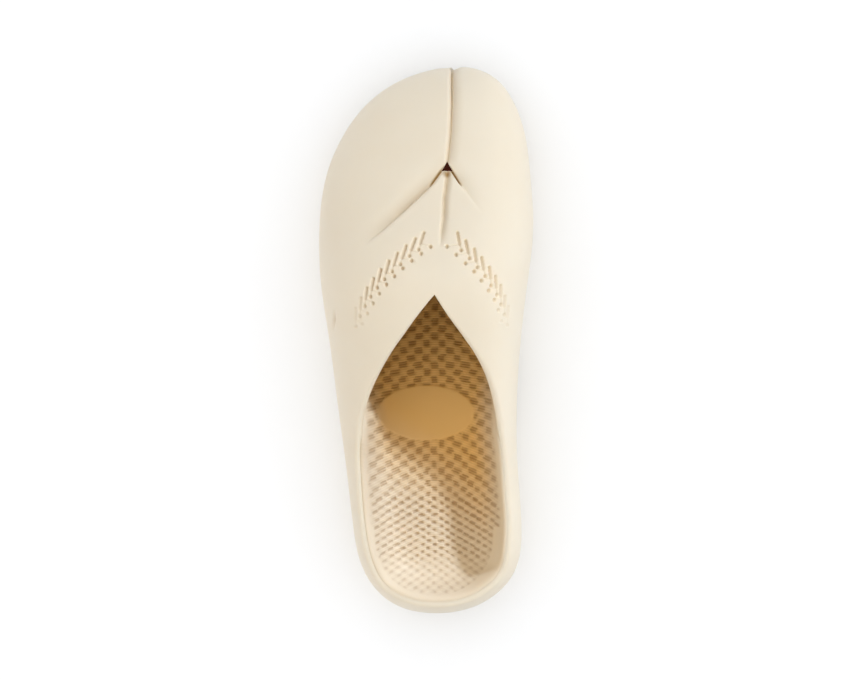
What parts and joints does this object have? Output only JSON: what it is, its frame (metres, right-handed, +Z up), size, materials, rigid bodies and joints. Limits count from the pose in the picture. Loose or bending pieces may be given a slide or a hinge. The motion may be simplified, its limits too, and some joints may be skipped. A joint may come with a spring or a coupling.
{
  "type": "mule",
  "caption": "Left split-toe mule in moulded foam: closed toe parted behind the big toe, V-shaped band, open back with a low heel rim, dished footbed and lugged sole.",
  "frame": {"origin": "middle of the shoe's plan, on the ground under the sole", "axes": "+Y to the toe, +Z up, +X to the medial side, where the big toe is"},
  "size_m": [0.11, 0.28, 0.0825],
  "materials": {
    "upper_foam": "cream moulded closed-cell foam, smooth and matte",
    "sole_foam": "cream moulded closed-cell foam, smooth and matte",
    "footbed_foam": "cream moulded foam with a woven relief, matte"
  },
  "bodies": {
    "root": {"upper": "upper_foam", "sole": "sole_foam", "insole": "footbed_foam"}
  },
  "joints": []
}
